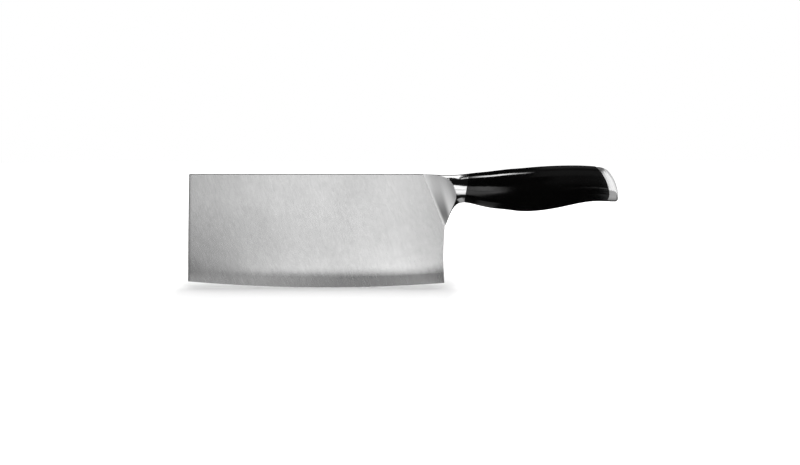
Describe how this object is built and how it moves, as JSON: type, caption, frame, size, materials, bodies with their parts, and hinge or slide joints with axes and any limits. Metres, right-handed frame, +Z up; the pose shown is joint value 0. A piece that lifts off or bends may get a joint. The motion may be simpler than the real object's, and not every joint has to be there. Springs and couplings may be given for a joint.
{
  "type": "chinese cleaver",
  "caption": "Tall rectangular slicing cleaver: satin blade with a curved edge, hollow-ground steel bolster, black moulded grip and a polished end cap.",
  "frame": {"origin": "under the middle of the overall length, on the blade's middle plane, level with the lowest point of the curved edge", "axes": "+X along the handle towards its butt, +Y across the blade to the right side, +Z up from the edge towards the spine"},
  "size_m": [0.3024, 0.0222, 0.0859],
  "materials": {
    "satin_steel": "satin, brushed across the blade",
    "polished_steel": "mirror polished",
    "plain_steel": "as machined",
    "black_grip": "glossy black"
  },
  "bodies": {
    "root": {"blade": "satin_steel", "bolster": "polished_steel", "tang": "plain_steel", "tang_washer": "plain_steel", "tang_nut": "plain_steel", "grip_shell_left": "black_grip", "grip_shell_right": "black_grip", "end_cap": "polished_steel", "cap_pin_upper": "plain_steel", "cap_pin_lower": "plain_steel"}
  },
  "joints": []
}
